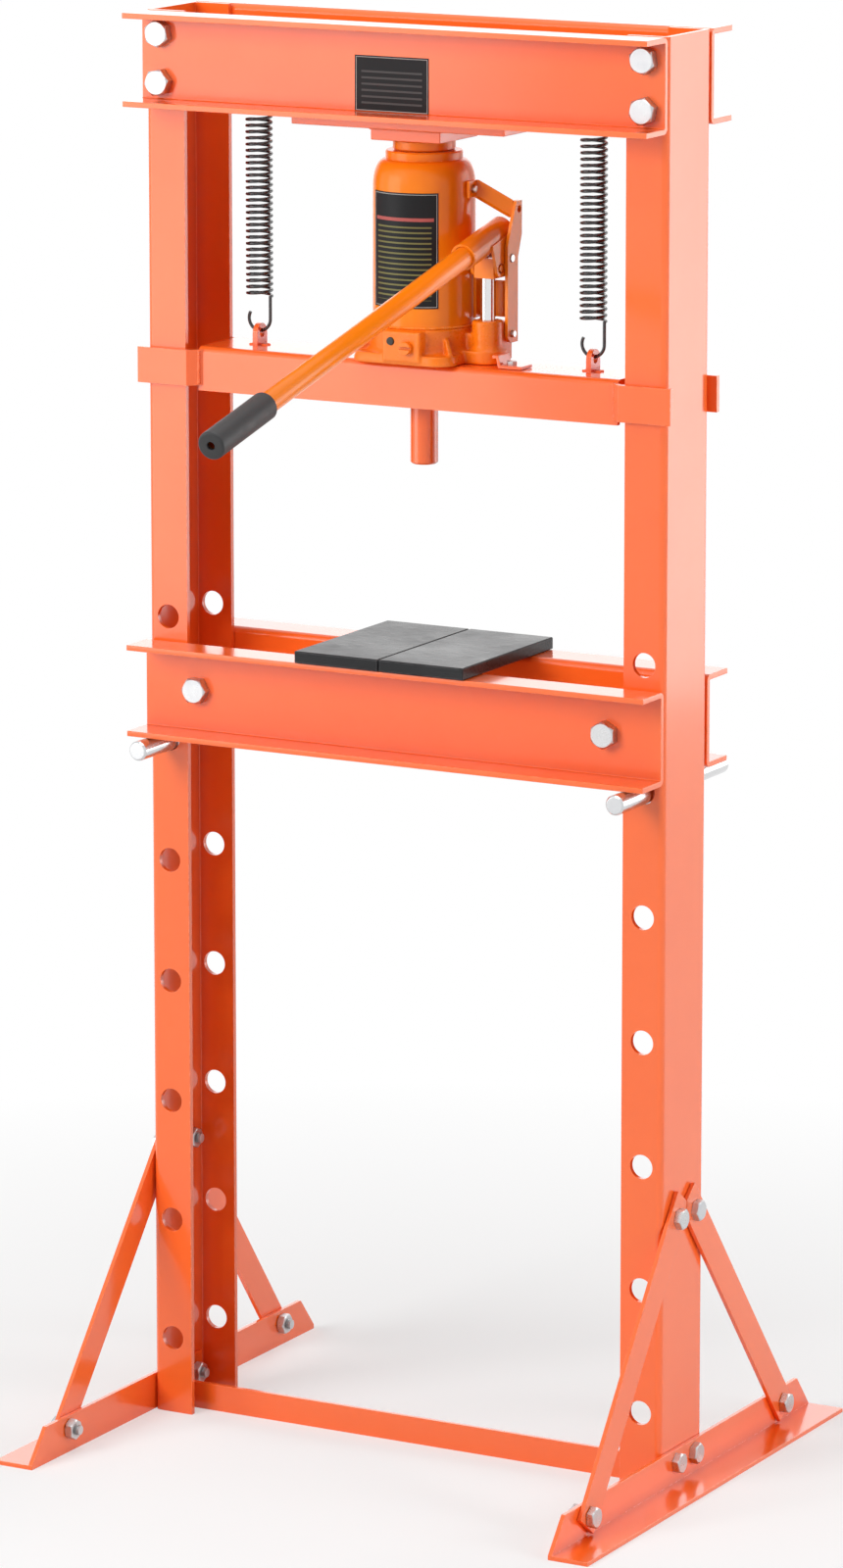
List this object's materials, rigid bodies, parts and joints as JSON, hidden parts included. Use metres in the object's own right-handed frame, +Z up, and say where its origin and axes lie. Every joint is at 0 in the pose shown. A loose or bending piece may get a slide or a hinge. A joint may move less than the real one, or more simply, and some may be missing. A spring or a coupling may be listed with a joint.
{
  "type": "hydraulic shop press",
  "caption": "Bench-height H-frame hydraulic shop press: a bottle jack pushes a spring-returned beam and its press rod down towards arbor plates on a pinned, height-adjustable bed.",
  "frame": {"origin": "on the floor, midway between the uprights and on the frame's middle plane, on the base crossbar's underside", "axes": "+Z up, +X to the right of someone who faces the press, on the pump's side, -Y towards that person, where the pump handle points"},
  "size_m": [0.6026, 0.7407, 1.3],
  "materials": {
    "frame_paint": "glossy enamel",
    "jack_paint": "glossy enamel over cast and pressed steel",
    "zinc_plate": "zinc-plated, satin",
    "bright_steel": "ground and polished",
    "dark_steel": "blackened, satin",
    "spring_steel": "black, glossy",
    "grip_rubber": "matte",
    "plug_rubber": "matte"
  },
  "bodies": {
    "frame": {"base_crossbar": "frame_paint", "brace_foot_bolt_left_front": "zinc_plate", "brace_foot_bolt_left_rear": "zinc_plate", "brace_foot_bolt_right_front": "zinc_plate", "brace_foot_bolt_right_rear": "zinc_plate", "brace_left_front": "frame_paint", "brace_left_rear": "frame_paint", "brace_right_front": "frame_paint", "brace_right_rear": "frame_paint", "brace_top_bolt_left_front": "zinc_plate", "brace_top_bolt_left_rear": "zinc_plate", "brace_top_bolt_right_front": "zinc_plate", "brace_top_bolt_right_rear": "zinc_plate", "foot_bolt_left_front": "zinc_plate", "foot_bolt_left_rear": "zinc_plate", "foot_bolt_right_front": "zinc_plate", "foot_bolt_right_rear": "zinc_plate", "foot_left": "frame_paint", "foot_right": "frame_paint", "head_block": "frame_paint", "head_plate": "frame_paint", "jack_ram": "bright_steel", "spring_hanger_left": "frame_paint", "spring_hanger_right": "frame_paint", "spring_left": "spring_steel", "spring_right": "spring_steel", "top_beam_front": "frame_paint", "top_beam_rear": "frame_paint", "top_bolt_left_lower": "zinc_plate", "top_bolt_left_upper": "zinc_plate", "top_bolt_right_lower": "zinc_plate", "top_bolt_right_upper": "zinc_plate", "upright_left": "frame_paint", "upright_right": "frame_paint"},
    "moving_beam": {"moving_beam": "frame_paint", "press_rod": "frame_paint", "jack_base": "jack_paint", "jack_tank": "jack_paint", "fulcrum_yoke": "jack_paint", "fulcrum_pin": "zinc_plate", "yoke_bolt": "zinc_plate", "stay_arm": "jack_paint", "ear_bolt": "zinc_plate", "filler_plug": "plug_rubber"},
    "plunger": {"pump_plunger": "bright_steel"},
    "handle": {"handle_socket": "jack_paint", "handle_rod": "jack_paint", "handle_grip": "grip_rubber"},
    "valve": {"release_valve": "jack_paint"},
    "bed": {"bed_beam_front": "frame_paint", "bed_beam_rear": "frame_paint", "bed_spacer_left": "frame_paint", "bed_spacer_right": "frame_paint", "bed_bolt_left": "zinc_plate", "bed_bolt_right": "zinc_plate"},
    "arbor_left": {"arbor_plate_left": "dark_steel"},
    "arbor_right": {"arbor_plate_right": "dark_steel"},
    "pin_left": {"bed_pin_left": "bright_steel"},
    "pin_right": {"bed_pin_right": "bright_steel"}
  },
  "joints": [
    {"name": "ram_stroke", "type": "slide", "parent": "frame", "child": "moving_beam", "axis": [0, 0, -1], "range_m": [0, 0.12], "stiffness_N_per_m": 4200, "springref_m": -0.034, "deforming": ["spring_left", "spring_right"]},
    {"name": "pump_handle", "type": "hinge", "parent": "moving_beam", "child": "handle", "pos_m": [0.064, 0.0125, 1.091], "axis": [-1, 0, 0], "range_deg": [-10, 40]},
    {"name": "plunger_stroke", "type": "slide", "parent": "moving_beam", "child": "plunger", "axis": [0, 0, 1], "range_m": [-0.0025, 0.009]},
    {"name": "release_valve_turn", "type": "hinge", "parent": "moving_beam", "child": "valve", "pos_m": [0.011, -0.053, 1.0143], "axis": [0, -1, 0], "range_deg": [0, 180]},
    {"name": "bed_lift", "type": "slide", "parent": "frame", "child": "bed", "axis": [0, 0, 1], "range_m": [0, 0.035]},
    {"name": "arbor_left_slide", "type": "slide", "parent": "bed", "child": "arbor_left", "axis": [-1, 0, 0], "range_m": [0, 0.1]},
    {"name": "arbor_right_slide", "type": "slide", "parent": "bed", "child": "arbor_right", "axis": [1, 0, 0], "range_m": [0, 0.1]},
    {"name": "pin_left_pull", "type": "slide", "parent": "frame", "child": "pin_left", "axis": [0, -1, 0], "range_m": [0, 0.16]},
    {"name": "pin_right_pull", "type": "slide", "parent": "frame", "child": "pin_right", "axis": [0, -1, 0], "range_m": [0, 0.16]}
  ],
  "couplings": [
    {"joint": "plunger_stroke", "follows": "pump_handle", "m_per_rad": 0.0125}
  ]
}
